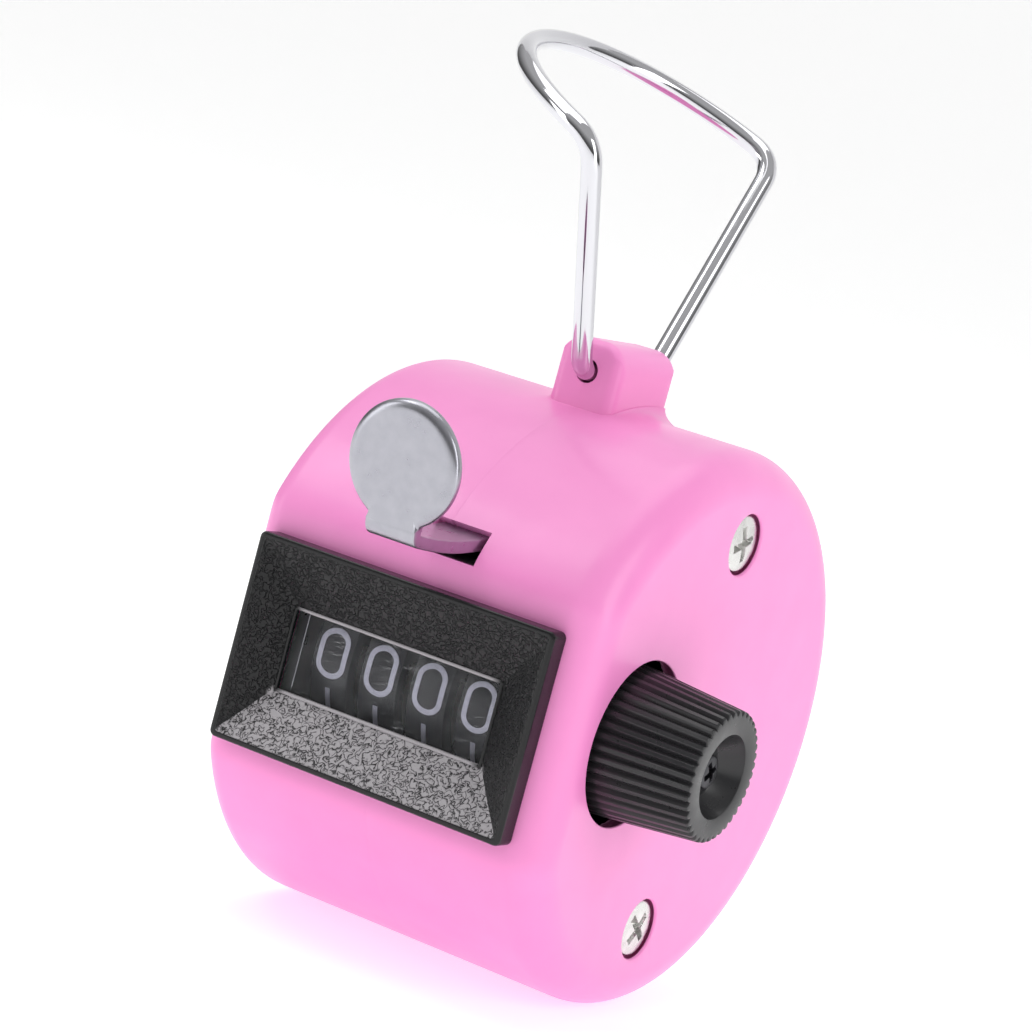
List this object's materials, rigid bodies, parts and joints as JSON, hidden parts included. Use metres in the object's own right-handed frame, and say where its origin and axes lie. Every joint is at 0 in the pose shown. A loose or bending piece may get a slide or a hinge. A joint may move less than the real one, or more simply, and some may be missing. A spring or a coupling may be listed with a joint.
{
  "type": "hand tally counter",
  "caption": "Hand tally counter: round two-part casing, windowed number wheels, thumb lever with pawl, ribbed reset knob and hinged wire finger ring.",
  "frame": {"origin": "centre of the plain left end face, on the drum's axis", "axes": "+X along the drum towards the reset knob, -Y out of the window, +Z towards the finger ring"},
  "size_m": [0.0378, 0.0519, 0.0711],
  "materials": {
    "casing": "glossy moulded pink plastic",
    "frame_black": "black plastic with a leather grain",
    "pane_clear": "clear scratched acrylic",
    "wheel_black": "black moulded plastic with white printed digits",
    "knob_charcoal": "charcoal ribbed plastic",
    "dark_screw": "blackened steel",
    "bright_steel": "bright zinc-plated steel",
    "chrome_wire": "polished nickel-chrome plating",
    "satin_nickel": "satin nickel-plated sheet steel",
    "plate_steel": "zinc-plated sheet steel",
    "spring_steel": "spring steel",
    "pawl_steel": "sintered steel",
    "dog_white": "natural acetal"
  },
  "bodies": {
    "housing": {"left_shell": "casing", "right_shell": "casing", "shell_screws": "bright_steel", "window_frame": "frame_black", "window_pane": "pane_clear", "left_side_plate": "plate_steel", "right_side_plate": "plate_steel", "plate_spacers": "bright_steel", "spacer_screws": "bright_steel", "lever_pin": "bright_steel", "lever_pin_clips": "bright_steel", "lever_spring": "spring_steel", "retaining_spring": "spring_steel", "spring_clamp": "plate_steel"},
    "ring": {"finger_ring": "chrome_wire"},
    "lever": {"thumb_lever": "satin_nickel", "pawl_pin": "bright_steel", "pawl_spring": "spring_steel"},
    "pawl": {"drive_pawl": "pawl_steel"},
    "reset": {"reset_shaft": "bright_steel", "shaft_clip": "bright_steel", "shaft_washer": "bright_steel", "reset_knob": "knob_charcoal", "knob_screw": "dark_screw"},
    "units": {"units_wheel": "wheel_black", "units_reset_dog": "dog_white"},
    "tens": {"tens_wheel": "wheel_black", "tens_reset_dog": "dog_white"},
    "hundreds": {"hundreds_wheel": "wheel_black", "hundreds_reset_dog": "dog_white"},
    "thousands": {"thousands_wheel": "wheel_black", "thousands_reset_dog": "dog_white"}
  },
  "joints": [
    {"name": "ring_swing", "type": "hinge", "parent": "housing", "child": "ring", "pos_m": [0.01535, 0, 0.0245], "axis": [0, 1, 0], "range_deg": [-78, 84]},
    {"name": "lever_press", "type": "hinge", "parent": "housing", "child": "lever", "pos_m": [0.0141, -0.016, -0.0095], "axis": [-1, 0, 0], "range_deg": [0, 8.5], "stiffness_Nm_per_rad": 0.008, "springref_deg": -20.05, "deforming": ["lever_spring", "pawl_spring", "retaining_spring", "units_reset_dog", "tens_reset_dog", "hundreds_reset_dog", "thousands_reset_dog"]},
    {"name": "pawl_swing", "type": "hinge", "parent": "lever", "child": "pawl", "pos_m": [0.0141, -0.0152, 0.0086], "axis": [-1, 0, 0], "range_deg": [0, 9]},
    {"name": "knob_reset", "type": "hinge", "parent": "housing", "child": "reset", "pos_m": [0.015, -0.01, -0.00025], "axis": [-1, 0, 0], "continuous": true},
    {"name": "units_spin", "type": "hinge", "parent": "reset", "child": "units", "pos_m": [0.02101, -0.01, -0.00025], "axis": [-1, 0, 0], "continuous": true},
    {"name": "tens_spin", "type": "hinge", "parent": "reset", "child": "tens", "pos_m": [0.01663, -0.01, -0.00025], "axis": [-1, 0, 0], "continuous": true},
    {"name": "hundreds_spin", "type": "hinge", "parent": "reset", "child": "hundreds", "pos_m": [0.01225, -0.01, -0.00025], "axis": [-1, 0, 0], "continuous": true},
    {"name": "thousands_spin", "type": "hinge", "parent": "reset", "child": "thousands", "pos_m": [0.00787, -0.01, -0.00025], "axis": [-1, 0, 0], "continuous": true}
  ],
  "couplings": [
    {"joint": "pawl_swing", "follows": "lever_press", "ratio": 0.972},
    {"joint": "units_spin", "follows": "lever_press", "ratio": 4.2353}
  ]
}
